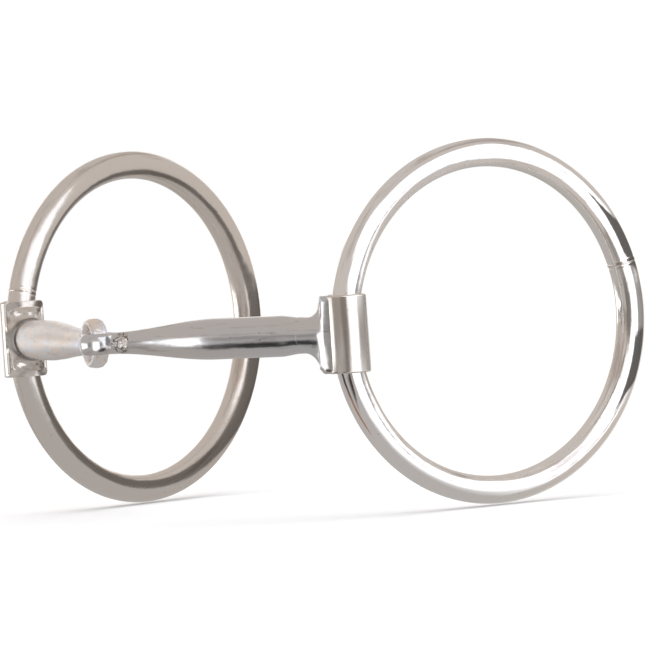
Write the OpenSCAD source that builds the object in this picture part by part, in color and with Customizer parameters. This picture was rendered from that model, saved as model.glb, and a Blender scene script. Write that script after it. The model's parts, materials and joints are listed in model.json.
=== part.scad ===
// Single-jointed ring snaffle bit with sleeves.
// Units are millimetres. The bit is drawn upright, as it hangs in a bridle: the rings stand on edge and the
// mouthpiece is level. The origin is where the bridle's cheekpiece bears, inside the top of the right ring.
// +Z is up, +X runs from the right sleeve across the right ring, +Y is across the horse.

/* [Rings] */
// Outside diameter of each cheek ring
ring_od = 89; // [70:0.5:110]
// Diameter of the round bar the rings are bent from
ring_bar = 7; // [5:0.1:9]
// How far the ring's closing weld stands proud of the bar
weld_proud = 0.06; // [0:0.01:0.15]

/* [Sleeves] */
// Length of each sleeve along its bore
sleeve_len = 19; // [14:0.5:26]
// Gap left between the ring's bar and the bore when the ring turns
ring_gap = 0.29; // [0.2:0.01:0.6]
// Wall of the sleeve's tube
sleeve_wall = 0.85; // [0.6:0.05:2]
// Width of the saddle that joins the tube to the mouthpiece
saddle_w = 9.8; // [8:0.1:12]
// Extra thickness of the saddle over the tube
saddle_t = 0.95; // [0.5:0.05:2]

/* [Mouthpiece] */
// Width of the mouthpiece, from sleeve face to sleeve face when it is straight
mouth_w = 127; // [114:1:150]
// Largest diameter of each half
cannon_d = 10; // [8:0.1:14]
// Diameter of the waist between the largest part and the sleeve
waist_d = 8.9; // [7:0.1:12]
// Diameter of the right half where it becomes the hook
shank_d = 5.3; // [4.5:0.1:6]
// Diameter of the left half where it meets the eye
neck_d = 6.2; // [5:0.1:7]

/* [Joint] */
// Outside diameter of the left half's upright eye
eye_od = 12.2; // [11.5:0.1:14]
// Thickness of the eye's wall, measured from its hole outwards
eye_wall = 2; // [1.6:0.05:2.2]
// Thickness of the eye from face to face
eye_t = 3.9; // [3.2:0.1:4]
// Gap between the eye's wall and the loop that is hooked round it
joint_gap = 0.3; // [0.2:0.02:0.6]
// Thickness of the loop's bar, measured level
loop_t = 2.9; // [2.4:0.05:3.4]
// Height of the loop's bar
loop_h = 5.2; // [4.5:0.1:5.6]

/* [Pose] */
// Bend of the mouthpiece at the centre joint, from straight
fold_rest = 42; // [0:1:75]
// Swing of the right ring from in line with its half of the mouthpiece
right_swing = 62; // [-75:1:75]
// Swing of the left ring from in line with its half of the mouthpiece
left_swing = 61; // [-75:1:75]

/* [Hidden] */
$fn = 64;
steel = [0.78, 0.77, 0.76];
dull = [0.66, 0.64, 0.62];
bead = [0.55, 0.53, 0.51];

bar_r = ring_bar / 2;
ring_r = ring_od / 2 - bar_r;
ring_in = ring_r - bar_r;

// The ring's bar is bowed and the bore is straight, so the bar is seated half its bow off the bore's axis.
half_len = sleeve_len / 2;
bow = ring_r - sqrt(ring_r * ring_r - half_len * half_len);
seat = bow / 2;
bore_r = bar_r + seat + ring_gap;
bore_cham = 0.5;
tube_r = bore_r + sleeve_wall;
tube_round = 0.5;
saddle_r = tube_r + saddle_t;

// Mouth side of the sleeve: a trumpet from the saddle down to the collar where the bar begins.
face_x = 6.5;
collar_x = 9.7;
trumpet_r = 4.6;
waist_x = 12;
trumpet_rim = 7.6;
web_rim = 9.4;
web_x = 5.6;
web_step = 0.15;
arc_steps = 10;

// Distance from a sleeve's bore to the centre joint's pivot.
reach = mouth_w / 2 + face_x;

// Centre joint. The pivot is the middle of the eye's end wall.
eye_r = eye_od / 2;
eye_hole = eye_r - eye_wall;
eye_mid = eye_r - eye_wall / 2;
eye_edge = 0.7;
corner_r = norm([eye_wall / 2 - eye_edge, eye_t / 2 - eye_edge]) + eye_edge;
loop_in = corner_r + joint_gap;
loop_mid = loop_in + loop_t / 2;
loop_out = loop_in + loop_t;

// Outlines of the two halves. The right half stays thick longer because its loop takes less room than the
// left half's eye.
max_r = cannon_d / 2;
waist_r = waist_d / 2;
shank_r = shank_d / 2;
neck_r = neck_d / 2;
waist_len = 1.2;
swell_len = 5.5;
collar_line = 0.15;
bar_steps = 36;
right_taper_x = 37;
left_taper_x = 24;

// Weld beads.
ring_weld_w = 1.3;
right_weld_ang = 16.4;
left_weld_ang = 163.6;
hook_weld_w = 2.4;
hook_weld_x = 5.7;
hook_weld_proud = 0.3;
tip_y = 0.7;

// Places in the resting pose. Directions are measured from the right ring's plane.
right_dir = -right_swing;
left_dir = right_dir + 180 - fold_rest;
left_ring_dir = left_dir - left_swing;
ring_off = ring_r - seat;
mid_z = -ring_in;
right_axis = [-ring_off, 0, mid_z];
pivot = right_axis - reach * [cos(right_dir), sin(right_dir), 0];
left_axis = pivot + reach * [cos(left_dir), sin(left_dir), 0];
left_centre = left_axis + ring_off * [cos(left_ring_dir), sin(left_ring_dir), 0];

// A bar of round section bent to a full ring about Z.
module hoop(r) {
  rotate_extrude($fn = 96) translate([ring_r, 0]) circle(r = r, $fn = 48);
}

// The slice of a ring that its closing weld fills, at an angle round the ring from its level line.
module weld_slice(ang) {
  rotate([0, 0, ang])
    translate([ring_r - ring_bar, -ring_weld_w / 2, -ring_bar])
      cube([2 * ring_bar, ring_weld_w, 2 * ring_bar]);
}

// A ring lies in the XY plane here and is stood up on edge by stand_ring.
module stand_ring(centre, dir) {
  translate(centre) rotate([0, 0, dir]) rotate([90, 0, 0]) children();
}

module ring_bar_solid(ang) {
  difference() {
    hoop(bar_r);
    weld_slice(ang);
  }
}

module ring_weld_solid(ang) {
  intersection() {
    hoop(bar_r + weld_proud);
    weld_slice(ang);
  }
}

// One half of the mouthpiece, in its own frame: the bore runs along Z through the origin and the bar
// runs along +X to the pivot.
module place_half(axis_pos, dir) {
  translate(axis_pos) rotate([0, 0, dir + 180]) children();
}

module lying_x() {
  rotate([90, 0, 90]) children();
}

// The trumpet: a web from the saddle that narrows in an arc down to the collar, spun about the bar's axis.
module trumpet() {
  arc_cy = waist_r + trumpet_r;
  a_rim = acos((arc_cy - trumpet_rim) / trumpet_r);
  a_collar = asin((waist_x - collar_x) / trumpet_r);
  lying_x() rotate_extrude($fn = 64)
    polygon(concat(
      [[0, 0], [web_rim, 0], [web_rim, web_x]],
      [for (i = [0 : arc_steps]) let (a = a_rim + (a_collar - a_rim) * i / arc_steps)
        [arc_cy - trumpet_r * cos(a), waist_x - trumpet_r * sin(a)]],
      [[0, collar_x]]));
}

// A block that keeps what is on the mouth side of the bore, as wide as w and as long as the sleeve.
module mouth_side(w) {
  translate([0, -w / 2, -half_len]) cube([collar_x, w, sleeve_len]);
}

module saddle() {
  intersection() {
    cylinder(r = saddle_r, h = sleeve_len, center = true);
    mouth_side(saddle_w);
  }
  intersection() {
    trumpet();
    mouth_side(saddle_w - 2 * web_step);
  }
}

module tube() {
  rotate_extrude($fn = 64)
    polygon([
      [0, -half_len],
      [tube_r - tube_round, -half_len],
      [tube_r - tube_round / 4, -half_len + tube_round / 4],
      [tube_r, -half_len + tube_round],
      [tube_r, half_len - tube_round],
      [tube_r - tube_round / 4, half_len - tube_round / 4],
      [tube_r - tube_round, half_len],
      [0, half_len]]);
}

module bore() {
  rotate_extrude($fn = 64)
    polygon([
      [0, -half_len - 1],
      [bore_r + bore_cham + 1, -half_len - 1],
      [bore_r, -half_len + bore_cham],
      [bore_r, half_len - bore_cham],
      [bore_r + bore_cham + 1, half_len + 1],
      [0, half_len + 1]]);
}

module sleeve_solid() {
  difference() {
    union() {
      tube();
      saddle();
    }
    bore();
  }
}

// Bar of a half: a list of [distance, radius] spun about X.
module turned(profile) {
  lying_x() rotate_extrude($fn = 64)
    polygon(concat(
      [[0, profile[0][0]]],
      [for (p = profile) [p[1], p[0]]],
      [[0, profile[len(profile) - 1][0]]]));
}

// Radius of a half at distance x: waist, swell, belly, then a smooth taper to the end radius.
function ease(t) = t * t * (3 - 2 * t);
function half_r(x, taper_from, end_x, end_r) =
  x < waist_x ? waist_r + trumpet_r - sqrt(trumpet_r * trumpet_r - pow(waist_x - x, 2))
  : x < waist_x + waist_len ? waist_r
  : x < waist_x + waist_len + swell_len
    ? waist_r + (max_r - waist_r) * ease((x - waist_x - waist_len) / swell_len)
  : x < taper_from ? max_r
  : max_r + (end_r - max_r) * ease((x - taper_from) / (end_x - taper_from));

// The outline starts with a small chamfer, which leaves a line at the collar.
function half_profile(taper_from, end_x, end_r) = concat(
  [[collar_x, half_r(collar_x, taper_from, end_x, end_r) - collar_line]],
  [for (i = [0 : bar_steps])
    let (x = collar_x + collar_line + (end_x - collar_x - collar_line) * i / bar_steps)
    [x, half_r(x, taper_from, end_x, end_r)]]);

// Section of the loop's bar: a rectangle with round top and bottom.
module loop_section(grow = 0) {
  half = loop_h / 2 - loop_t / 2;
  for (s = [-1, 1]) translate([0, s * half]) circle(r = loop_t / 2 + grow, $fn = 48);
  square([loop_t + 2 * grow, 2 * half], center = true);
}

module loop_ring(grow = 0) {
  rotate_extrude($fn = 96) translate([loop_mid, 0]) loop_section(grow);
}

// The place where the hook's tip comes back against the bar, on the side that faces +Y of the half.
module tip_block() {
  translate([reach - hook_weld_x - hook_weld_w / 2, tip_y, -loop_h])
    cube([hook_weld_w, loop_h, 2 * loop_h]);
}

module right_bar() {
  turned(half_profile(right_taper_x, reach - loop_mid, shank_r));
}

// The right half: a tapering bar whose end is bent round into a level loop about the pivot.
module right_half_solid() {
  difference() {
    union() {
      difference() {
        right_bar();
        translate([reach, 0, 0]) cylinder(r = loop_mid, h = 3 * loop_h, center = true);
      }
      translate([reach, 0, 0]) loop_ring();
    }
    tip_block();
  }
}

// The bead fills the gap at the hook's tip and stands a little proud of the bar.
module hook_weld_solid() {
  intersection() {
    tip_block();
    lying_x() cylinder(r = shank_r + hook_weld_proud, h = reach);
  }
}

// Section of the eye's wall: a rectangle with rounded corners.
module eye_section() {
  dx = eye_wall / 2 - eye_edge;
  dy = eye_t / 2 - eye_edge;
  for (a = [-dx, dx], b = [-dy, dy]) translate([a, b]) circle(r = eye_edge, $fn = 32);
  square([eye_wall, 2 * dy], center = true);
  square([2 * dx, eye_t], center = true);
}

module eye_ring() {
  rotate([90, 0, 0]) rotate_extrude($fn = 96) translate([eye_mid, 0]) eye_section();
}

// The left half: the same bar, ending in an upright closed eye whose end wall is centred on the pivot.
module left_half_solid() {
  eye_x = reach - eye_mid;
  root_x = eye_x - eye_r;
  turned(concat(
    half_profile(left_taper_x, root_x, neck_r),
    [[root_x + 0.8, neck_r - 0.2], [root_x + 1.3, neck_r - 0.6], [root_x + 1.7, neck_r - 1.2]]));
  translate([eye_x, 0, 0]) eye_ring();
}

module right_ring() {
  color(steel) stand_ring([0, 0, mid_z], 0) ring_bar_solid(right_weld_ang);
}

module right_ring_weld() {
  color(bead) stand_ring([0, 0, mid_z], 0) ring_weld_solid(right_weld_ang);
}

module right_sleeve() {
  color(steel) place_half(right_axis, right_dir) sleeve_solid();
}

module right_cannon() {
  color(dull) place_half(right_axis, right_dir) right_half_solid();
}

module hook_weld() {
  color(bead) place_half(right_axis, right_dir) hook_weld_solid();
}

module left_cannon() {
  color(dull) place_half(left_axis, left_dir) left_half_solid();
}

module left_sleeve() {
  color(steel) place_half(left_axis, left_dir) sleeve_solid();
}

module left_ring() {
  color(steel) stand_ring(left_centre, left_ring_dir) ring_bar_solid(left_weld_ang);
}

module left_ring_weld() {
  color(bead) stand_ring(left_centre, left_ring_dir) ring_weld_solid(left_weld_ang);
}

right_ring();
right_ring_weld();
right_sleeve();
right_cannon();
hook_weld();
left_cannon();
left_sleeve();
left_ring();
left_ring_weld();
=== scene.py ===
import json
import math

import bmesh
import bpy
from mathutils import Matrix, Vector


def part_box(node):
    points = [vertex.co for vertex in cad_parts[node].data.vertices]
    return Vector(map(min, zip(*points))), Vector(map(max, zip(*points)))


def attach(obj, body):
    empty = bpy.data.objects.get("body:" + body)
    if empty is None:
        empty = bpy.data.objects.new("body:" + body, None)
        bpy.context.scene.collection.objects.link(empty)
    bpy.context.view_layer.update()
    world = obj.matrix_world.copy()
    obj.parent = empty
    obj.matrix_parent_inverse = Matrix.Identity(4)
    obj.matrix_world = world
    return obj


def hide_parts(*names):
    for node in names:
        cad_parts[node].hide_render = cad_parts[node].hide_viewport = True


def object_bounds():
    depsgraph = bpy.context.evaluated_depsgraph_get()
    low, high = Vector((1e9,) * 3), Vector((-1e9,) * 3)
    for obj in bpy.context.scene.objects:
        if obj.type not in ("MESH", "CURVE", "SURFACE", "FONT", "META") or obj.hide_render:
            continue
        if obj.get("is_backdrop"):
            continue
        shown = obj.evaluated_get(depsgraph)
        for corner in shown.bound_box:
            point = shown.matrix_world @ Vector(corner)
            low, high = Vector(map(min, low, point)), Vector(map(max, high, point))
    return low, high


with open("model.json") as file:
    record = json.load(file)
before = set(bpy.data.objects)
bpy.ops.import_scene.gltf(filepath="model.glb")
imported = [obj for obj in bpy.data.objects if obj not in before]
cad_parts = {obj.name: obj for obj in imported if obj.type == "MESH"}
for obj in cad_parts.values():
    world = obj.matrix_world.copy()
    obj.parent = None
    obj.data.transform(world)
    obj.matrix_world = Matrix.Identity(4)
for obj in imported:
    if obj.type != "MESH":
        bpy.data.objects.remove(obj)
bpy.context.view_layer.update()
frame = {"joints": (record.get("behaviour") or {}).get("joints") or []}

# Loose-ring snaffle bit with sleeves, in metres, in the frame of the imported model:
# +Z runs up along the sleeve bores, +X across the right ring, +Y from the right ring to the left one.

mm = 0.001
tiny = 1e-9  # keeps a division from being by nothing
mergeWithin = 0.002 * mm
grainValues = {"middle": 0.62, "depth": 2}  # of the fine unevenness that roughen gives


def deselectAll():
    if bpy.context.mode != "OBJECT":
        bpy.ops.object.mode_set(mode="OBJECT")
    bpy.ops.object.select_all(action="DESELECT")


def takeUp(obj):
    # makes it the only selected one, and active
    deselectAll()
    obj.select_set(True)
    bpy.context.view_layer.objects.active = obj


def startEdit(obj):
    takeUp(obj)
    bpy.ops.object.mode_set(mode="EDIT")
    bpy.ops.mesh.select_all(action="SELECT")


def nameIt(name):
    # for the primitive that was just added
    obj = bpy.context.active_object
    obj.name = name
    obj.data.name = name
    return obj


def pickVerts(obj, test):
    # selects the vertices that pass the test, in edit mode
    bpy.ops.mesh.select_mode(type="VERT")
    bpy.ops.mesh.select_all(action="DESELECT")
    bm = bmesh.from_edit_mesh(obj.data)
    for vert in bm.verts:
        vert.select = test(vert.co)
    bm.select_flush(True)
    bmesh.update_edit_mesh(obj.data)


def moveVerts(obj, place):
    # puts each selected vertex where place(co) says, in edit mode
    bm = bmesh.from_edit_mesh(obj.data)
    for vert in bm.verts:
        if vert.select:
            vert.co = place(vert.co)
    bmesh.update_edit_mesh(obj.data)


def shadeSmooth(obj, under):
    takeUp(obj)
    bpy.ops.object.shade_smooth_by_angle(angle=math.radians(under))


def closeMesh(obj, smoothUnder):
    # doubles merged, normals outwards, back to object mode, smooth shading below that angle
    bpy.ops.mesh.select_all(action="SELECT")
    bpy.ops.mesh.remove_doubles(threshold=mergeWithin)
    bpy.ops.mesh.normals_make_consistent(inside=False)
    shadeSmooth(obj, smoothUnder)


def applyModifier(obj, kind, **values):
    takeUp(obj)
    mod = obj.modifiers.new(kind.lower(), kind)
    for key, value in values.items():
        setattr(mod, key, value)
    bpy.ops.object.modifier_apply(modifier=mod.name)


def combine(obj, other, operation):
    applyModifier(obj, "BOOLEAN", operation=operation, solver="EXACT", object=other)
    bpy.data.objects.remove(other)


def applyPlace(obj):
    takeUp(obj)
    bpy.ops.object.transform_apply(location=True, rotation=True, scale=True)


def standOn(obj, s):
    # from a half's own frame (bore up through the origin, bar along +X) to its place
    obj.location = s["bore"]
    obj.rotation_euler = (0, 0, s["barHeading"])
    applyPlace(obj)
    return obj


def roughen(obj, size, strength, group=""):
    # pushes the surface in and out a little, as on a hand-finished casting
    tex = bpy.data.textures.new(obj.name + "Grain", "CLOUDS")
    tex.noise_scale = size
    tex.noise_depth = grainValues["depth"]
    applyModifier(obj, "DISPLACE", texture=tex, texture_coords="LOCAL", strength=strength,
                  mid_level=grainValues["middle"], vertex_group=group)


def ease(t):
    t = min(max(t, 0.0), 1.0)
    return t * t * (3 - 2 * t)


def headingOf(a, b):
    return math.atan2(b.y - a.y, b.x - a.x)


joints = {j["name"]: Vector(j["pos_m"]) for j in frame["joints"]}
pivotPoint = joints["mouth_fold"]

sides = {}
for side in ("right", "left"):
    bore = joints[side + "_ring_swing"]
    low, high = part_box(side + "_ring")
    centre = (low + high) / 2
    sides[side] = {
        "bore": bore,
        "centre": centre,
        "ringHeading": headingOf(bore, centre),
        "barHeading": headingOf(bore, pivotPoint),
        "ringBody": side + "_ring_body",
        "halfBody": side + "_half",
    }
reach = (pivotPoint - sides["right"]["bore"]).length  # from bore to pivot, along a half
ringLow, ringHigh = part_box("right_ring")
ringSize = {"od": ringHigh.z - ringLow.z, "bar": ringHigh.y - ringLow.y}
sleeveLow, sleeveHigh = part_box("right_sleeve")
sleeveHalf = (sleeveHigh.z - sleeveLow.z) / 2
print("ring", round(ringSize["od"], 4), "bar", round(ringSize["bar"], 4), "reach", round(reach, 4))


def newMaterial(name):
    mat = bpy.data.materials.new(name)
    mat.use_nodes = True
    return mat, mat.node_tree


def opaque(color):
    return tuple(color) + (1.0,)


def makeNode(t, kind, **settings):
    node = t.nodes.new("ShaderNode" + kind)
    for key, value in settings.items():
        setattr(node, key, value)
    return node


def feed(t, socket, value):
    # another node's output is linked, a plain value is set
    if isinstance(value, bpy.types.NodeSocket):
        t.links.new(value, socket)
    else:
        socket.default_value = value


def maths(t, operation, *values):
    node = makeNode(t, "Math", operation=operation)
    for socket, value in zip(node.inputs, values):
        feed(t, socket, value)
    return node.outputs["Value"]


def vectorMaths(t, operation, *values):
    node = makeNode(t, "VectorMath", operation=operation)
    for socket, value in zip(node.inputs, values):
        feed(t, socket, value)
    return node.outputs["Vector" if operation == "MULTIPLY" else "Value"]


def joinXYZ(t, x, y, z):
    node = makeNode(t, "CombineXYZ")
    for axis, value in zip("XYZ", (x, y, z)):
        feed(t, node.inputs[axis], value)
    return node.outputs["Vector"]


def splitXYZ(t, vector):
    node = makeNode(t, "SeparateXYZ")
    t.links.new(vector, node.inputs["Vector"])
    return node.outputs


def remap(t, value, fromLow, fromHigh, toLow=0, toHigh=1, blend="LINEAR"):
    node = makeNode(t, "MapRange", interpolation_type=blend)
    node.inputs["From Min"].default_value = fromLow
    node.inputs["From Max"].default_value = fromHigh
    node.inputs["To Min"].default_value = toLow
    node.inputs["To Max"].default_value = toHigh
    t.links.new(value, node.inputs["Value"])
    return node.outputs["Result"]


def fade(t, value, start, end):
    return remap(t, value, start, end, blend="SMOOTHSTEP")


def mixColor(t, factor, a, b):
    node = makeNode(t, "Mix", data_type="RGBA")
    t.links.new(factor, node.inputs["Factor"])
    for socket, value in zip([i for i in node.inputs if i.type == "RGBA"], (a, b)):
        feed(t, socket, opaque(value) if isinstance(value, tuple) else value)
    return [o for o in node.outputs if o.type == "RGBA"][0]


def mixShader(t, factor, a, b):
    node = makeNode(t, "MixShader")
    for socket, value in zip(node.inputs, (factor, a, b)):
        t.links.new(value, socket)
    return node.outputs["Shader"]


def emission(t, color):
    node = makeNode(t, "Emission")
    node.inputs["Color"].default_value = opaque(color)
    return node.outputs["Emission"]


def transparent(t):
    return makeNode(t, "BsdfTransparent").outputs["BSDF"]


def showSurface(t, shader):
    t.links.new(shader, t.nodes["Material Output"].inputs["Surface"])


# what all finishes share: each noise's detail and roughness, and where in a noise its effect sets in
finishValues = {
    "patch": (3.0, 0.6),
    "film": (6.0, 0.65),
    "pit": (2.0, 0.5),
    "smear": (5.0, 0.6),
    "wave": (2.0, 0.4),
    "line": (3.0, 0.7),
    "crack": (4.0, 0.55),
    "patchRange": (0.35, 0.65),
    "filmSpan": 0.12,
    "pitRange": (0.735, 0.76),
    "pitStrength": 0.8,
    "smearRange": (0.3, 0.7),
    # how far out the painted shade round a bar's axis fades, and how dark it gets
    "paintedShadeSpan": 0.35 * mm,
    "paintedShadeAmount": 0.85,
    "crackCore": 0.015,
    "crackGaps": (0.40, 0.52),  # of a noise that breaks the cracks up
}


def steelCoords(t, f):
    # coordinates that follow the steel: along the bar, or round a ring if the finish has a ring's middle
    along = makeNode(t, "Mapping", vector_type="TEXTURE")
    along.inputs["Rotation"].default_value = (0, 0, f.get("heading", 0.0))
    along.inputs["Location"].default_value = f.get("middle", f.get("start", (0, 0, 0)))
    t.links.new(makeNode(t, "TexCoord").outputs["Object"], along.inputs["Vector"])
    if "middle" not in f:
        return along.outputs["Vector"]
    part = splitXYZ(t, along.outputs["Vector"])
    angle = maths(t, "ARCTAN2", part["Z"], part["X"])
    arc = maths(t, "MULTIPLY", angle, ringSize["od"] / 2)
    out = vectorMaths(t, "LENGTH", joinXYZ(t, part["X"], 0, part["Z"]))
    return joinXYZ(t, arc, part["Y"], out)


def steelFinish(name, f):
    v = finishValues
    mat, t = newMaterial(name)
    bsdf = t.nodes["Principled BSDF"]
    bsdf.inputs["Metallic"].default_value = 1.0
    spot = steelCoords(t, f)

    def noise(kind, scale, stretch=(1, 1, 1)):
        mapping = makeNode(t, "Mapping", vector_type="TEXTURE")
        mapping.inputs["Scale"].default_value = stretch
        t.links.new(spot, mapping.inputs["Vector"])
        node = makeNode(t, "TexNoise")
        node.inputs["Scale"].default_value = scale
        node.inputs["Detail"].default_value, node.inputs["Roughness"].default_value = v[kind]
        t.links.new(mapping.outputs["Vector"], node.inputs["Vector"])
        return node.outputs["Fac"]

    # colour: clean steel, cooler and warmer patches, brown film in the low places of the noise
    patches = remap(t, noise("patch", f["patchScale"], f["patchStretch"]), *v["patchRange"])
    color = mixColor(t, patches, f["cool"], f["warm"])
    film = noise("film", f["filmScale"], f["patchStretch"])
    filmMask = remap(t, film, f["filmFrom"], f["filmFrom"] + v["filmSpan"], 0, f["filmAmount"])
    color = mixColor(t, filmMask, color, f["film"])
    pitMask = remap(t, noise("pit", f["pitScale"]), *v["pitRange"], 0, f["pitAmount"])
    color = mixColor(t, pitMask, color, f["pitColor"])
    if "paintedShadeRadius" in f:  # painted shade: darker close round the bar's axis, in the crevice at its root
        offAxis = vectorMaths(t, "LENGTH", vectorMaths(t, "MULTIPLY", spot, (0, 1, 1)))
        radius = f["paintedShadeRadius"]
        paintedShade = remap(t, offAxis, radius, radius + v["paintedShadeSpan"], v["paintedShadeAmount"], 0)
        color = mixColor(t, paintedShade, color, f["paintedShade"])
    crackMask = None
    if "crackScale" in f:
        cells = makeNode(t, "TexVoronoi", feature="DISTANCE_TO_EDGE")
        cells.inputs["Scale"].default_value = f["crackScale"]
        t.links.new(spot, cells.inputs["Vector"])
        crack = remap(t, cells.outputs["Distance"], v["crackCore"], f["crackWidth"], 1, 0)
        gaps = remap(t, noise("crack", f["crackScale"] / 2), *v["crackGaps"])
        crackMask = maths(t, "MULTIPLY", crack, gaps)
        color = mixColor(t, crackMask, color, f["pitColor"])
    t.links.new(color, bsdf.inputs["Base Color"])

    # roughness: wiped and handled unevenly
    smear = noise("smear", f["smearScale"], f["smearStretch"])
    roughness = remap(t, smear, *v["smearRange"], f["roughLow"], f["roughHigh"])
    t.links.new(roughness, bsdf.inputs["Roughness"])

    # relief: hammered waviness, fine polishing lines, pits and cracks
    reliefs = [
        (noise("wave", f["waveScale"]), f["waveHeight"], 1.0),
        (noise("line", f["lineScale"], f["lineStretch"]), f["lineHeight"], 1.0),
        (pitMask, -f["pitDepth"], v["pitStrength"]),
    ]
    if crackMask:
        reliefs.append((crackMask, -f["crackDepth"], 1.0))
    normal = None
    for value, height, strength in reliefs:
        bump = makeNode(t, "Bump")
        bump.inputs["Strength"].default_value = strength
        bump.inputs["Distance"].default_value = height
        t.links.new(value, bump.inputs["Height"])
        if normal:
            t.links.new(normal, bump.inputs["Normal"])
        normal = bump.outputs["Normal"]
    t.links.new(normal, bsdf.inputs["Normal"])
    return mat


# scales are per metre, heights and depths in metres; stretch is along, across and up
polishedSteel = {
    "cool": (0.90, 0.90, 0.91), "warm": (0.91, 0.88, 0.85),
    "film": (0.40, 0.34, 0.31), "filmFrom": 0.55, "filmAmount": 0.55,
    "patchScale": 90.0, "filmScale": 420.0, "patchStretch": (12, 1, 1),
    "pitScale": 900.0, "pitAmount": 0.7, "pitColor": (0.12, 0.10, 0.09), "pitDepth": 0.00002,
    "smearScale": 300.0, "smearStretch": (6, 1, 1), "roughLow": 0.06, "roughHigh": 0.16,
    "waveScale": 190.0, "waveHeight": 0.00010,
    "lineScale": 1500.0, "lineStretch": (14, 1, 1), "lineHeight": 0.000012,
}
satinSteel = dict(
    polishedSteel, cool=(0.80, 0.78, 0.76), warm=(0.80, 0.74, 0.69), film=(0.42, 0.33, 0.27),
    filmAmount=0.5, roughLow=0.15, roughHigh=0.30, waveHeight=0.00016, lineHeight=0.00002)
sleeveSteel = dict(
    polishedSteel, cool=(0.78, 0.76, 0.74), warm=(0.80, 0.74, 0.69), filmAmount=0.25,
    patchStretch=(1, 1, 4), roughLow=0.15, roughHigh=0.22, waveHeight=0.00002,
    smearStretch=(1, 1, 6), lineScale=2200.0, lineStretch=(1, 1, 20), lineHeight=0.000010)
castSteel = dict(
    polishedSteel, cool=(0.76, 0.75, 0.74), warm=(0.78, 0.72, 0.67), filmAmount=0.45,
    patchStretch=(1, 1, 1), roughLow=0.20, roughHigh=0.36, waveScale=260.0, waveHeight=0.00014,
    smearStretch=(1, 1, 1), lineScale=1500.0, lineStretch=(1, 1, 1), lineHeight=0.00002)
# the left collar's steel, with painted shade in the crevice close round the bar's root
rootSteel = dict(
    castSteel, heading=sides["left"]["barHeading"], start=sides["left"]["bore"],
    paintedShadeRadius=5.15 * mm, paintedShade=(0.13, 0.115, 0.105))
barSteel = dict(
    polishedSteel, cool=(0.65, 0.69, 0.76), warm=(0.71, 0.68, 0.66), filmAmount=0.6,
    heading=sides["right"]["barHeading"], roughLow=0.12, roughHigh=0.25,
    waveScale=150.0, waveHeight=0.00018, lineHeight=0.000020)
pearlSteel = dict(
    castSteel, cool=(0.84, 0.87, 0.94), warm=(0.94, 0.86, 0.79), film=(0.72, 0.58, 0.48),
    filmFrom=0.54, filmAmount=0.5, heading=sides["left"]["barHeading"], patchStretch=(3, 1, 1),
    roughLow=0.30, roughHigh=0.44, patchScale=420.0, filmScale=800.0)
weldSteel = dict(
    castSteel, cool=(0.80, 0.80, 0.83), warm=(0.62, 0.57, 0.53), film=(0.05, 0.045, 0.04),
    filmFrom=0.58, filmAmount=0.95, filmScale=700.0, roughLow=0.10, roughHigh=0.35,
    lineScale=2600.0, lineHeight=0.00012, crackScale=560.0, crackWidth=0.06, crackDepth=0.0001,
    pitColor=(0.03, 0.028, 0.026))
ringWeldSteel = dict(
    castSteel, film=(0.30, 0.26, 0.23), filmScale=700.0, roughLow=0.12, roughHigh=0.26)


def ringFinish(name, f, s):
    return steelFinish(name, dict(f, middle=s["centre"], heading=s["ringHeading"]))


materials = {
    "polished": ringFinish("polishedSteel", polishedSteel, sides["right"]),
    "satin": ringFinish("satinSteel", satinSteel, sides["left"]),
    "sleeve": steelFinish("sleeveSteel", sleeveSteel),
    "root": steelFinish("rootSteel", rootSteel),
    "bar": steelFinish("barSteel", barSteel),
    "pearl": steelFinish("pearlSteel", pearlSteel),
    "weld": steelFinish("weldSteel", weldSteel),
    "ringWeld": steelFinish("ringWeldSteel", ringWeldSteel),
}
print(len(materials), "steel finishes")


ringValues = {
    "sectionSides": 56,
    "steps": 236,
    "fineSteps": 44,
    "fineSpan": 10.0,  # degrees about the weld that have closer steps
    "weldAngle": {"right": 16.4, "left": 163.6},  # from the far side of the ring, upwards
    "grooveDepth": 0.04 * mm,
    "grooveWidth": 0.35 * mm,
    "shrink": 0.012 * mm,  # so that the facets' corners stay inside the CAD ring
    "smoothUnder": 60,
}
midRadius = ringSize["od"] / 2 - ringSize["bar"] / 2  # of the circle along the middle of a ring's bar


def ringFrame(s):
    # away from the bore, up, and across the ring's plane
    out = Vector((math.cos(s["ringHeading"]), math.sin(s["ringHeading"]), 0))
    up = Vector((0, 0, 1))
    return out, up, out.cross(up)


def spinBar(name, s, radius, fromAngle, parts):
    # the bar's round section, spun about the ring's middle in parts of (degrees, steps)
    out, up, normal = ringFrame(s)
    a = math.radians(fromAngle)
    spoke = out * math.cos(a) + up * math.sin(a)
    tangent = up * math.cos(a) - out * math.sin(a)
    turn = Matrix((spoke, -normal, tangent)).transposed()
    deselectAll()
    bpy.ops.mesh.primitive_circle_add(vertices=ringValues["sectionSides"], radius=radius,
                                      location=s["centre"] + spoke * midRadius, rotation=turn.to_euler())
    obj = nameIt(name)
    applyPlace(obj)
    startEdit(obj)
    for degrees, steps in parts:
        bpy.ops.mesh.spin(steps=steps, angle=math.radians(degrees), center=s["centre"], axis=-normal)
    bpy.ops.mesh.select_all(action="SELECT")
    return obj


def fromWeld(s, co, weld):
    # degrees round the ring from its weld
    out, up, normal = ringFrame(s)
    d = co - s["centre"]
    return (math.degrees(math.atan2(d.dot(up), d.dot(out))) - weld + 180) % 360 - 180


def barMiddle(s, co):
    out, up, normal = ringFrame(s)
    d = co - s["centre"]
    flat = d - normal * d.dot(normal)
    return s["centre"] + flat.normalized() * midRadius


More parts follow.
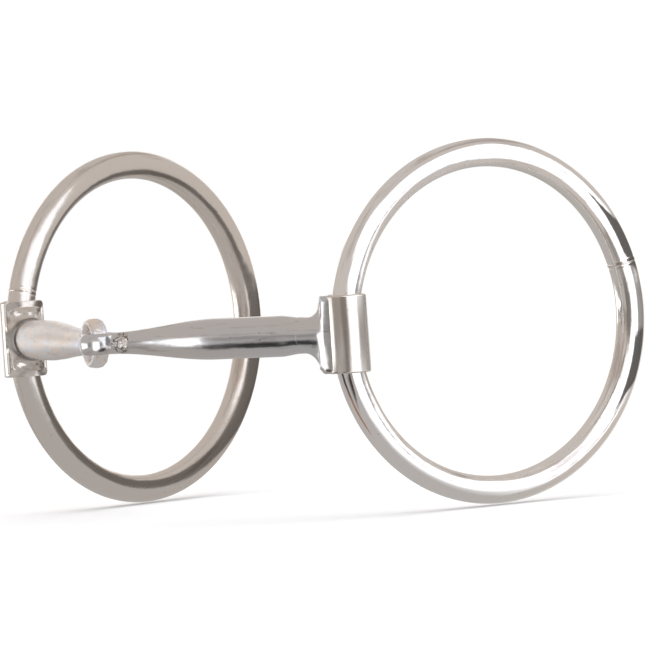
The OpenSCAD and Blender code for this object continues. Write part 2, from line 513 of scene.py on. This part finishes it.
def makeRing(side):
    s, v = sides[side], ringValues
    weld = v["weldAngle"][side]
    radius = ringSize["bar"] / 2
    parts = ((v["fineSpan"], v["fineSteps"]), (360 - v["fineSpan"], v["steps"]))
    obj = spinBar(side + "Ring", s, radius - v["shrink"], weld - v["fineSpan"] / 2, parts)

    def grooved(co):
        # a shallow groove each side of the weld bead
        along = abs(math.radians(fromWeld(s, co, weld))) * midRadius
        off = abs(along - ringWeldValues["width"] / 2) / v["grooveWidth"]
        c = barMiddle(s, co)
        return c + (co - c) * (1 - ease(1 - off) * v["grooveDepth"] / radius)

    moveVerts(obj, grooved)
    closeMesh(obj, v["smoothUnder"])
    return obj


ringWeldValues = {
    "width": 1.3 * mm,
    "proud": 0.05 * mm,
    "rows": 16,
    "sink": 0.16 * mm,  # of the bead's two ends, into the bar
    "ripples": 9,
    "rippleDepth": 0.02 * mm,
    "rippleTwist": 3,
    "endWithin": 0.02,  # degrees
    "capInset": 1.2 * mm,
    "smoothUnder": 60,
}


def makeRingWeld(side):
    s, v = sides[side], ringWeldValues
    weld = ringValues["weldAngle"][side]
    radius = ringSize["bar"] / 2 + v["proud"]
    span = math.degrees(v["width"] / (ringSize["od"] / 2))
    obj = spinBar(side + "RingWeld", s, radius, weld - span / 2, ((span, v["rows"]),))

    def bead(co):
        t = abs(fromWeld(s, co, weld)) / (span / 2)
        c = barMiddle(s, co)
        about = math.atan2((co - c).z, (co - c).dot(ringFrame(s)[2]))
        ripple = v["rippleDepth"] * math.sin(v["ripples"] * about + v["rippleTwist"] * t)
        sink = v["sink"] * ease(t) ** 2 + abs(ripple) * (1 - t)
        return c + (co - c) * (1 - sink / radius)

    moveVerts(obj, bead)
    for end in (-1, 1):  # both ends are closed inside the bar
        pickVerts(obj, lambda co: abs(fromWeld(s, co, weld) - end * span / 2) < v["endWithin"])
        bpy.ops.mesh.edge_face_add()
        bpy.ops.mesh.inset(thickness=v["capInset"])
    closeMesh(obj, v["smoothUnder"])
    return obj


tubeValues = {
    "outer": 5.197 * mm,
    "inner": 4.347 * mm,
    "steps": 128,
    "outerRound": 0.5 * mm,
    "outerSegments": 6,
    "innerRound": 0.30 * mm,
    "innerSegments": 4,
    "pickWithin": 0.01 * mm,
    "smoothUnder": 35,
}


def makeTube(side):
    # the wall's section, its corners rounded, spun about the bore
    v = tubeValues
    wall = v["outer"] - v["inner"]
    deselectAll()
    bpy.ops.mesh.primitive_plane_add(size=1, location=((v["outer"] + v["inner"]) / 2, 0, 0),
                                     rotation=(math.pi / 2, 0, 0))
    obj = nameIt(side + "Tube")
    obj.scale = (wall, 2 * sleeveHalf, 1)
    applyPlace(obj)
    startEdit(obj)
    pickVerts(obj, lambda co: co.x > v["inner"] + wall / 2)
    bpy.ops.mesh.bevel(offset=v["outerRound"], segments=v["outerSegments"], affect="VERTICES")
    pickVerts(obj, lambda co: co.x < v["inner"] + v["pickWithin"])
    bpy.ops.mesh.bevel(offset=v["innerRound"], segments=v["innerSegments"], affect="VERTICES")
    bpy.ops.mesh.select_all(action="SELECT")
    bpy.ops.mesh.delete(type="ONLY_FACE")
    bpy.ops.mesh.select_all(action="SELECT")
    bpy.ops.mesh.spin(steps=v["steps"], angle=2 * math.pi, center=(0, 0, 0), axis=(0, 0, 1))
    closeMesh(obj, v["smoothUnder"])
    return standOn(obj, sides[side])


saddleValues = {
    "sides": 192,
    "rows": 34,
    "halfWidth": 4.9 * mm,
    "halfHeight": sleeveHalf - 0.06 * mm,
    "corner": 1.1 * mm,
    "faceRadius": 6.12 * mm,
    "curveSteps": 18,  # of the collar's curve
    "fullness": 1.2,  # beside the bar
    "cornerShare": 0.3,  # how far into a corner's round its ridge ends
    "ridgeWidth": 0.26,
    "riseWidth": 0.22,
    "dishShape": 1.5,
    "lipDepth": 1.5 * mm,
    "lipShare": 0.9,
    "pickWithin": 0.1 * mm,
    "hiddenRadius": 4.78 * mm,  # inside the tube's wall
    "hiddenLeast": 1.5 * mm,
    "hiddenRows": (1.0, 0.75, 0.5, 0.25),
    "edgeRound": {"right": 0.38 * mm, "left": 0.22 * mm},
    "edgeSegments": 4,
    "grainSize": 2.2 * mm,
    "grain": {"right": 0.03 * mm, "left": 0.07 * mm},
    "smoothUnder": 50,
}

# collar: where it leaves the bar, how strong its ridges, dimples and rise are, and if it is open round
# the bar; then, above and below the bar, where its curve starts, the curve's radius, how far out it ends,
# and how far out and how far from the bore the plate turns flat
collarValues = {
    "right": {
        "waist": 12.0 * mm, "radius": 4.43 * mm, "ridge": 0.15, "dish": 0.05, "rise": 0.0, "open": False,
        "top": (10.2 * mm, 3.0 * mm, 6.9 * mm, 9.2 * mm, 6.35 * mm),
        "bottom": (12.0 * mm, 4.6 * mm, 8.2 * mm, 9.2 * mm, 6.35 * mm),
    },
    "left": {
        "waist": 10.3 * mm, "radius": 5.12 * mm, "ridge": 0.03, "dish": 0.75, "rise": 0.05, "open": True,
        "top": (10.3 * mm, 2.0 * mm, 6.8 * mm, 8.0 * mm, 6.3 * mm),
        "bottom": (10.3 * mm, 2.0 * mm, 6.8 * mm, 8.0 * mm, 6.3 * mm),
    },
}


def saddleProfile(v, c, part):
    # [share of the way down, share of the way out] from the collar to the plate's edge
    start, curve, rimOut, flatOut, flatX = c[part]
    rim = math.acos((c["radius"] + curve - rimOut) / curve)
    down, wide = c["waist"] - v["faceRadius"], v["halfHeight"] - c["radius"]
    points = [(0.0, 0.0)]
    for i in range(v["curveSteps"] + 1):
        a = rim * i / v["curveSteps"]
        forward = c["waist"] - start + curve * math.sin(a)
        points.append((forward / down, curve * (1 - math.cos(a)) / wide))
    points.append(((c["waist"] - flatX) / down, (flatOut - c["radius"]) / wide))
    points.append((1.0, 1.0))
    return points


def alongProfile(points, u):
    # the point at share u of the profile's length
    steps = [math.hypot(b[0] - a[0], b[1] - a[1]) for a, b in zip(points, points[1:])]
    want = u * sum(steps)
    for a, b, step in zip(points, points[1:], steps):
        if want <= step or b is points[-1]:
            k = min(want / max(step, tiny), 1.0)
            return a[0] + (b[0] - a[0]) * k, a[1] + (b[1] - a[1]) * k
        want -= step


def roundedRectangle(v, psi):
    # distance from the bar's axis to the plate's edge in direction psi
    c, s = abs(math.cos(psi)), abs(math.sin(psi))
    a, b, r = v["halfWidth"], v["halfHeight"], v["corner"]
    d = min(a / max(c, tiny), b / max(s, tiny))
    if d * c > a - r and d * s > b - r:  # in the corner's arc
        cx, cy = a - r, b - r
        k = c * cx + s * cy
        d = k + math.sqrt(max(k * k - (cx * cx + cy * cy - r * r), 0))
    return d


def makeSaddle(side):
    # plate over the tube that flows into the collar of the bar, with a ridge to each corner
    v, c = saddleValues, collarValues[side]
    top, bottom = saddleProfile(v, c, "top"), saddleProfile(v, c, "bottom")
    inset = v["corner"] * v["cornerShare"]
    cornerPsi = math.atan2(v["halfHeight"] - inset, v["halfWidth"] - inset)

    def onRow(u):
        (downTop, wideTop), (downLow, wideLow) = alongProfile(top, u), alongProfile(bottom, u)
        swell = math.sin(math.pi * u)

        def place(co):
            psi = math.atan2(co.z, co.y)
            q = math.atan2(abs(math.sin(psi)), abs(math.cos(psi)))
            edge = roundedRectangle(v, psi)
            xEdge = math.sqrt(v["faceRadius"] ** 2 - (edge * math.cos(psi)) ** 2)
            low = 0.5 - 0.5 * math.sin(psi)
            down = downTop + (downLow - downTop) * low
            wide = wideTop + (wideLow - wideTop) * low
            nearCorner = math.exp(-((q - cornerPsi) / v["ridgeWidth"]) ** 2)
            upright = math.exp(-((q - math.pi / 2) / v["riseWidth"]) ** 2)
            w = wide ** (1.0 + v["fullness"] * math.cos(psi) ** 4)
            w += (down - w) * nearCorner * c["ridge"] * swell
            d = down + (1 - down) * nearCorner * c["dish"] * swell ** v["dishShape"]
            d -= upright * c["rise"] * swell ** 2
            rho = c["radius"] + (edge - c["radius"]) * w
            x = c["waist"] - (c["waist"] - xEdge) * d
            return Vector((x, rho * math.cos(psi), rho * math.sin(psi)))

        return place

    def hidden(share):
        def place(co):
            psi = math.atan2(co.z, co.y)
            edge = roundedRectangle(v, psi) * share
            y, z = edge * math.cos(psi), edge * math.sin(psi)
            x = math.sqrt(max(v["hiddenRadius"] ** 2 - y * y, v["hiddenLeast"] ** 2))
            return Vector((x, y, z))

        return place

    deselectAll()
    bpy.ops.mesh.primitive_circle_add(vertices=v["sides"], radius=c["radius"], fill_type="NGON",
                                      location=(c["waist"], 0, 0), rotation=(0, math.pi / 2, 0))
    obj = nameIt(side + "Saddle")
    applyPlace(obj)
    startEdit(obj)
    if c["open"]:  # which leaves a dark line round the bar
        inside, share = c["waist"] - v["lipDepth"], v["lipShare"]
        bpy.ops.mesh.extrude_region_move(TRANSFORM_OT_translate={"value": (-v["lipDepth"], 0, 0)})
        bpy.ops.transform.resize(value=(1, share, share), center_override=(inside, 0, 0))
        pickVerts(obj, lambda co: co.x > c["waist"] - v["pickWithin"])
    for i in range(1, v["rows"] + 1):
        if i == 1 and not c["open"]:
            bpy.ops.mesh.extrude_region_move()
        else:
            bpy.ops.mesh.extrude_edges_move()
        moveVerts(obj, onRow(i / v["rows"]))
    for share in v["hiddenRows"]:
        bpy.ops.mesh.extrude_edges_move()
        moveVerts(obj, hidden(share))
    bpy.ops.mesh.edge_face_add()
    closeMesh(obj, v["smoothUnder"])
    applyModifier(obj, "BEVEL", width=v["edgeRound"][side], segments=v["edgeSegments"],
                  limit_method="ANGLE", angle_limit=math.radians(v["smoothUnder"]), harden_normals=False)
    roughen(obj, v["grainSize"], v["grain"][side])
    shadeSmooth(obj, v["smoothUnder"])
    return standOn(obj, sides[side])


barValues = {
    "sides": 96,
    "rows": 110,
    "start": 8.9 * mm,
    "waist": 12.0 * mm,
    "waistLength": 1.2 * mm,
    "waistRadius": {"right": 4.45 * mm, "left": 4.75 * mm},
    "sunk": {"right": 0.25 * mm, "left": 0.0},  # below the collar
    "sunkWithin": 1.2 * mm,
    "swell": 5.5 * mm,
    "max": 5.0 * mm,
    "taperFrom": {"right": 37.0 * mm, "left": 24.0 * mm},
    "endRadius": {"right": 2.65 * mm, "left": 3.1 * mm},
    "smoothUnder": 60,
}


def barRadius(side, x, end):
    v = barValues
    waist, past = v["waistRadius"][side], v["waist"] + v["waistLength"]
    if x < past:
        return waist - v["sunk"][side] * ease((v["waist"] - x) / v["sunkWithin"])
    if x < past + v["swell"]:
        return waist + (v["max"] - waist) * ease((x - past) / v["swell"])
    start = v["taperFrom"][side]
    return v["max"] + (v["endRadius"][side] - v["max"]) * ease((x - start) / (end - start))


def turnBar(side, end):
    # a disc, drawn out along the bar and scaled at every step
    v = barValues
    radius = barRadius(side, v["start"], end)
    deselectAll()
    bpy.ops.mesh.primitive_circle_add(vertices=v["sides"], radius=radius, fill_type="NGON",
                                      location=(v["start"], 0, 0), rotation=(0, math.pi / 2, 0))
    obj = nameIt(side + "Bar")
    applyPlace(obj)
    startEdit(obj)
    step = (end - v["start"]) / v["rows"]
    for i in range(1, v["rows"] + 1):
        x = v["start"] + step * i
        bpy.ops.mesh.extrude_region_move(TRANSFORM_OT_translate={"value": (step, 0, 0)})
        new = barRadius(side, x, end)
        bpy.ops.transform.resize(value=(1, new / radius, new / radius), center_override=(x, 0, 0))
        radius = new
    closeMesh(obj, v["smoothUnder"])
    return obj


def spinSection(name, centre, axis, middle, thick, tall, v):
    # a squared oval section beside the axis, spun right round it
    deselectAll()
    bpy.ops.mesh.primitive_circle_add(vertices=v["sectionSides"], radius=1.0)
    obj = nameIt(name)
    startEdit(obj)

    def place(co):
        a = math.atan2(co.y, co.x)
        c, s = math.cos(a), math.sin(a)
        k = (abs(c) ** v["square"] + abs(s) ** v["square"]) ** (-1 / v["square"])
        beside = Vector((middle + c * k * thick / 2, 0, 0))
        return Vector(centre) + beside + Vector(axis) * (s * k * tall / 2)

    moveVerts(obj, place)
    bpy.ops.mesh.spin(steps=v["steps"], angle=2 * math.pi, center=centre, axis=axis)
    closeMesh(obj, v["smoothUnder"])
    return obj


hookValues = {
    "middle": 3.735 * mm,
    "thick": 2.88 * mm,
    "tall": 5.18 * mm,
    "square": 2.2,  # 2 is an oval section, more is squarer
    "steps": 96,
    "sectionSides": 40,
    "smoothUnder": 60,
    "cutterDepth": 30 * mm,
    "joinedSmoothUnder": 35,
}


def makeRightBar():
    v = hookValues
    obj = turnBar("right", reach - v["middle"])
    hook = spinSection("hook", (reach, 0, 0), (0, 0, 1), v["middle"], v["thick"], v["tall"], v)
    # the bar's end would fill the hook, so it is hollowed to the hook's middle first
    deselectAll()
    bpy.ops.mesh.primitive_cylinder_add(vertices=v["steps"], radius=v["middle"], depth=v["cutterDepth"],
                                        location=(reach, 0, 0))
    combine(obj, bpy.context.active_object, "DIFFERENCE")
    combine(obj, hook, "UNION")
    shadeSmooth(obj, v["joinedSmoothUnder"])
    return standOn(obj, sides["right"])


eyeValues = {
    "outer": 6.1 * mm,
    "wall": 2.0 * mm,
    "thick": 4.2 * mm,
    "square": 2.3,
    "steps": 96,
    "sectionSides": 40,
    "smoothUnder": 60,
    "barOverlap": 1.3 * mm,
    "voxel": 0.2 * mm,
    "softening": {"factor": 0.5, "iterations": 6},
    "rimFade": 1.5 * mm,
    "rimGrain": (1.3 * mm, 0.30 * mm),  # size and strength, only about the eye
    "grain": (5.0 * mm, 0.10 * mm),
}


def makeLeftBar():
    v = eyeValues
    middle = v["outer"] - v["wall"] / 2
    eyeX = reach - middle
    obj = turnBar("left", eyeX - v["outer"] + v["barOverlap"])
    eye = spinSection("eye", (eyeX, 0, 0), (0, 1, 0), middle, v["wall"], v["thick"], v)
    combine(obj, eye, "UNION")
    applyModifier(obj, "REMESH", mode="VOXEL", voxel_size=v["voxel"])
    applyModifier(obj, "SMOOTH", **v["softening"])
    rim = obj.vertex_groups.new(name="eyeRim")
    for vert in obj.data.vertices:
        off = abs(vert.co.x - eyeX) - v["outer"]
        rim.add([vert.index], ease(1 - off / v["rimFade"]), "REPLACE")
    roughen(obj, *v["rimGrain"], "eyeRim")
    obj.vertex_groups.clear()
    roughen(obj, *v["grain"])
    takeUp(obj)
    bpy.ops.object.shade_smooth()
    return standOn(obj, sides["left"])


hookWeldValues = {
    "back": 7.6 * mm,  # from the pivot
    "out": 1.0 * mm,  # to the side where the tip comes back
    "size": (7.4 * mm, 4.8 * mm, 5.2 * mm),
    "segments": 72,
    "rings": 48,
    "grains": ((0.8 * mm, 0.60 * mm), (0.3 * mm, 0.22 * mm)),
}


def makeHookWeld():
    v = hookWeldValues
    deselectAll()
    bpy.ops.mesh.primitive_uv_sphere_add(segments=v["segments"], ring_count=v["rings"], radius=1.0)
    obj = nameIt("hookWeld")
    obj.location = (reach - v["back"], v["out"], 0)
    obj.scale = Vector(v["size"]) / 2
    applyPlace(obj)
    for size, strength in v["grains"]:
        roughen(obj, size, strength)
    bpy.ops.object.shade_smooth()
    return standOn(obj, sides["right"])


def finishPiece(obj, look, body, slotName, *nodes):
    obj.data.materials.clear()
    obj.data.materials.append(materials[look])
    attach(obj, body)
    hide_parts(*nodes)
    print(obj.name, len(obj.data.polygons), "faces")


for side, ringLook, saddleLook in (("right", "polished", "bar"), ("left", "satin", "root")):
    ringBody, halfBody = sides[side]["ringBody"], sides[side]["halfBody"]
    finishPiece(makeRing(side), ringLook, ringBody, "ring_steel", side + "_ring")
    finishPiece(makeRingWeld(side), "ringWeld", ringBody, "weld_steel", side + "_ring_weld")
    finishPiece(makeTube(side), "sleeve", halfBody, "sleeve_steel", side + "_sleeve")
    finishPiece(makeSaddle(side), saddleLook, halfBody, "sleeve_steel", side + "_sleeve")
finishPiece(makeRightBar(), "bar", "right_half", "mouth_steel", "right_cannon")
finishPiece(makeLeftBar(), "pearl", "left_half", "mouth_steel", "left_cannon")
finishPiece(makeHookWeld(), "weld", "right_half", "weld_steel", "hook_weld")


cameraView = {
    "azimuth": -31.36,  # degrees, 0 looks along +Y
    "elevation": 2.2,
    "roll": 3.75,
    "distance": 2.619,
    "lens": 598.0,
    "sensor": 36.0,
    "clip": (0.05, 100.0),
    "aimFromPivot": (0.04653, -0.02828, 0.00164),
}


def viewAxes(v):
    # the camera's right, the way back to the camera, and that way made level
    a, e = math.radians(v["azimuth"]), math.radians(v["elevation"])
    back = Vector((math.sin(a) * math.cos(e), -math.cos(a) * math.cos(e), math.sin(e)))
    right = Vector((0, 0, 1)).cross(back).normalized()
    return right, back, Vector((back.x, back.y, 0)).normalized()


def addCamera(v):
    right, back, level = viewAxes(v)
    data = bpy.data.cameras.new("camera")
    cam = bpy.data.objects.new("camera", data)
    bpy.context.scene.collection.objects.link(cam)
    data.lens = v["lens"]
    data.sensor_width = v["sensor"]
    data.clip_start, data.clip_end = v["clip"]
    turn = (-back).to_track_quat("-Z", "Y").to_matrix()
    turn = turn @ Matrix.Rotation(math.radians(-v["roll"]), 3, "Z")
    aim = pivotPoint + Vector(v["aimFromPivot"])
    cam.matrix_world = Matrix.Translation(aim + back * v["distance"]) @ turn.to_4x4()
    bpy.context.scene.camera = cam
    print("camera", tuple(round(c, 4) for c in cam.location))


overhead = {"size": 3.0, "height": 2.4, "power": 42.0}


def addOverhead(v):
    # lights the floor and fills the shadows; the steel takes its light from the panels and cards
    data = bpy.data.lights.new("overhead", "AREA")
    data.size = v["size"]
    data.energy = v["power"]
    lamp = bpy.data.objects.new("overhead", data)
    lamp.location = (0, 0, v["height"])
    lamp.visible_glossy = False
    lamp.visible_camera = False
    bpy.context.scene.collection.objects.link(lamp)
    print("overhead lamp", v["power"])


floorValues = {
    "size": 14.0,
    "drop": 0.0004,  # gap under the rings
    "color": (0.94, 0.965, 0.99),
    "roughness": 0.9,
    "shine": 0.1,
    "inSteel": (0.49, 0.465, 0.445),  # and the band of it that the steel sees, fading in and out
    "band": ((-0.34, -0.20), (0.03, -0.005)),
    "bandTurn": 25,  # degrees from the camera's right towards the camera
    "fade": (0.25, 0.90),  # distances over which the floor goes over into the backdrop
}


def addFloor(v, view):
    right, back, level = viewAxes(view)
    low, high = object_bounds()
    deselectAll()
    bpy.ops.mesh.primitive_plane_add(size=v["size"], location=(0, 0, low.z - v["drop"]))
    floor = nameIt("floor")
    mat, t = newMaterial("paleFloor")
    bsdf = t.nodes["Principled BSDF"]
    bsdf.inputs["Base Color"].default_value = opaque(v["color"])
    bsdf.inputs["Roughness"].default_value = v["roughness"]
    bsdf.inputs["Specular IOR Level"].default_value = v["shine"]
    spot = makeNode(t, "TexCoord").outputs["Object"]

    # the steel sees a band of the floor, from the left to just right of the right ring's middle
    turn = math.radians(v["bandTurn"])
    across = vectorMaths(t, "DOT_PRODUCT", spot, right * math.cos(turn) + back * math.sin(turn))
    rise, fall = [fade(t, across, start, end) for start, end in v["band"]]
    band = maths(t, "MULTIPLY", rise, fall)
    inSteel = mixShader(t, band, transparent(t), emission(t, v["inSteel"]))

    # the camera sees a pale floor that fades away with its distance from under the object
    away = vectorMaths(t, "DISTANCE", spot, (pivotPoint.x / 2, pivotPoint.y, 0))
    inView = mixShader(t, fade(t, away, *v["fade"]), bsdf.outputs["BSDF"], transparent(t))
    rays = makeNode(t, "LightPath")
    showSurface(t, mixShader(t, rays.outputs["Is Glossy Ray"], inView, inSteel))
    floor.data.materials.append(mat)
    floor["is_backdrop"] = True
    print("floor at", round(low.z - v["drop"], 4))


worldColors = {"backdrop": (1.0, 1.0, 1.0), "room": (0.60, 0.55, 0.51)}

# soft panels round the object: from where to where in degrees, to the right of the camera and up,
# how far their edges fade, colour and brightness
panels = [
    {"across": (-79, 10), "up": (-40, 8), "soft": 4, "color": (1.0, 0.93, 0.87), "power": 0.34},
    {"across": (-28, 4), "up": (-15, 10), "soft": 5, "color": (1.0, 0.90, 0.82), "power": 0.22},
    {"across": (-15, 95), "up": (30, 50), "soft": 5, "color": (1.0, 1.0, 1.03), "power": 1.35},
    {"across": (-4, 95), "up": (14, 48), "soft": 4, "color": (1.0, 1.0, 1.03), "power": 1.35},
    {"across": (7, 95), "up": (3, 48), "soft": 4, "color": (1.0, 1.0, 1.03), "power": 1.35},
    {"across": (4, 78), "up": (-45, -10), "soft": 4, "color": (1.0, 1.0, 1.03), "power": 1.35},
    {"across": (14, 110), "up": (-14, 14), "soft": 4, "color": (1.0, 1.0, 1.03), "power": 1.5},
    {"across": (67, 150), "up": (-9, 4), "soft": 4, "color": (1.0, 0.96, 0.93), "power": 0.34},
    {"across": (-128, -76), "up": (-12, 3), "soft": 2, "color": (1.0, 1.0, 1.0), "power": 1.9},
    {"across": (-200, -150), "up": (-40, 22), "soft": 8, "color": (1.0, 0.98, 0.96), "power": 1.25},
    {"across": (150, 200), "up": (-40, 22), "soft": 8, "color": (1.0, 0.98, 0.96), "power": 1.25},
]


def addWorld(v, panels, view):
    right, back, level = viewAxes(view)
    world = bpy.data.worlds.new("softStudio")
    bpy.context.scene.world = world
    world.use_nodes = True
    t = world.node_tree
    direction = makeNode(t, "TexCoord").outputs["Generated"]

    def share(axis):
        return vectorMaths(t, "DOT_PRODUCT", direction, axis)

    def inDegrees(angle):
        return maths(t, "MULTIPLY", angle, 180 / math.pi)

    def window(value, low, high, soft):
        rise = fade(t, value, low - soft, low + soft)
        fall = fade(t, value, high + soft, high - soft)
        return maths(t, "MULTIPLY", rise, fall)

    across = inDegrees(maths(t, "ARCTAN2", share(right), share(level)))
    up = inDegrees(maths(t, "ARCSINE", share((0, 0, 1))))
    color = v["room"]
    for panel in panels:
        wide = window(across, *panel["across"], panel["soft"])
        tall = window(up, *panel["up"], panel["soft"])
        tone = tuple(c * panel["power"] for c in panel["color"])
        color = mixColor(t, maths(t, "MULTIPLY", wide, tall), color, tone)
    rays = makeNode(t, "LightPath")
    shown = mixColor(t, rays.outputs["Is Camera Ray"], color, v["backdrop"])
    t.links.new(shown, t.nodes["Background"].inputs["Color"])
    print(len(panels), "panels")


# cards that only the steel sees: middle from a ring's middle (to the camera's right, towards it, up),
# size (across, up), the way they face (degrees, 0 is the camera's right and 90 the camera itself),
# how near a surface must be to see them, how far their edges fade (share of the card), colour
cards = [
    {"name": "darkUpper", "ring": "right", "at": (0.056, -0.020, 0.020), "size": (0.050, 0.020),
     "faces": 180, "within": 0.034, "soft": 0.10, "color": (0.13, 0.125, 0.12)},
    {"name": "darkLower", "ring": "right", "at": (0.056, -0.020, -0.016), "size": (0.050, 0.020),
     "faces": 180, "within": 0.034, "soft": 0.10, "color": (0.13, 0.125, 0.12)},
    {"name": "brownInner", "ring": "right", "at": (0.020, 0.0165, 0.012), "size": (0.057, 0.024),
     "faces": 0, "within": 0.060, "soft": 0.35, "color": (0.05, 0.04, 0.035)},
    {"name": "brownLow", "ring": "right", "at": (-0.045, 0.054, -0.0245), "size": (0.052, 0.020),
     "faces": 0, "within": 0.075, "soft": 0.30, "color": (0.045, 0.035, 0.03)},
    {"name": "copperLow", "ring": "right", "at": (-0.045, 0.0245, -0.0325), "size": (0.007, 0.034),
     "faces": 0, "within": 0.040, "soft": 0.40, "color": (0.30, 0.13, 0.07)},
    {"name": "barDark", "ring": "right", "at": (-0.0864, 0.0251, -0.030), "size": (0.052, 0.040),
     "faces": -59, "within": 0.060, "soft": 0.22, "color": (0.045, 0.045, 0.045)},
    {"name": "barLight", "ring": "right", "at": (-0.1059, 0.0136, -0.007), "size": (0.026, 0.036),
     "faces": -59, "within": 0.060, "soft": 0.35, "color": (2.4, 2.4, 2.4)},
    {"name": "greyByHook", "ring": "right", "at": (-0.070, 0.020, 0.018), "size": (0.040, 0.060),
     "faces": 180, "within": 0.050, "soft": 0.15, "color": (0.30, 0.28, 0.27)},
    {"name": "screenUpper", "ring": "left", "at": (0.056, -0.020, 0.075), "size": (0.140, 0.130),
     "faces": 180, "within": 1.0, "soft": 0.01, "color": (0.62, 0.57, 0.53)},
    {"name": "screenLower", "ring": "left", "at": (0.056, -0.020, -0.0175), "size": (0.140, 0.055),
     "faces": 180, "within": 1.0, "soft": 0.01, "color": (0.15, 0.135, 0.125)},
]


def cardMaterial(card):
    # from behind, or from too far, a card can't be seen; its own edges are half a unit from its middle
    mat, t = newMaterial(card["name"])
    t.nodes.remove(t.nodes["Principled BSDF"])
    rays = makeNode(t, "LightPath")
    far = maths(t, "GREATER_THAN", rays.outputs["Ray Length"], card["within"])
    hidden = maths(t, "MAXIMUM", far, makeNode(t, "NewGeometry").outputs["Backfacing"])
    part = splitXYZ(t, makeNode(t, "TexCoord").outputs["Object"])
    for axis in "XY":
        edge = fade(t, maths(t, "ABSOLUTE", part[axis]), 0.5 - card["soft"], 0.5)
        hidden = maths(t, "MAXIMUM", hidden, edge)
    showSurface(t, mixShader(t, hidden, emission(t, card["color"]), transparent(t)))
    return mat


def addCards(cards, view):
    right, back, level = viewAxes(view)
    up = Vector((0, 0, 1))
    for card in cards:
        deselectAll()
        bpy.ops.mesh.primitive_plane_add(size=1)
        obj = nameIt(card["name"])
        x, y, z = card["at"]
        spot = sides[card["ring"]]["centre"] + right * x + level * y + up * z
        faces = math.radians(card["faces"])
        face = right * math.cos(faces) + level * math.sin(faces)
        turn = Matrix((up.cross(face), up, face)).transposed()
        size = Matrix.Diagonal((*card["size"], 1, 1))
        obj.matrix_world = Matrix.Translation(spot) @ turn.to_4x4() @ size
        obj.data.materials.append(cardMaterial(card))
        obj.visible_camera = False
        obj.visible_diffuse = False
        obj.visible_shadow = False
        obj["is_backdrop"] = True
    print(len(cards), "cards")


addCamera(cameraView)
addOverhead(overhead)
addFloor(floorValues, cameraView)
addWorld(worldColors, panels, cameraView)
addCards(cards, cameraView)
bpy.context.scene.view_settings.view_transform = "Standard"

low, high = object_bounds()
print("size", [round(v, 4) for v in high - low])
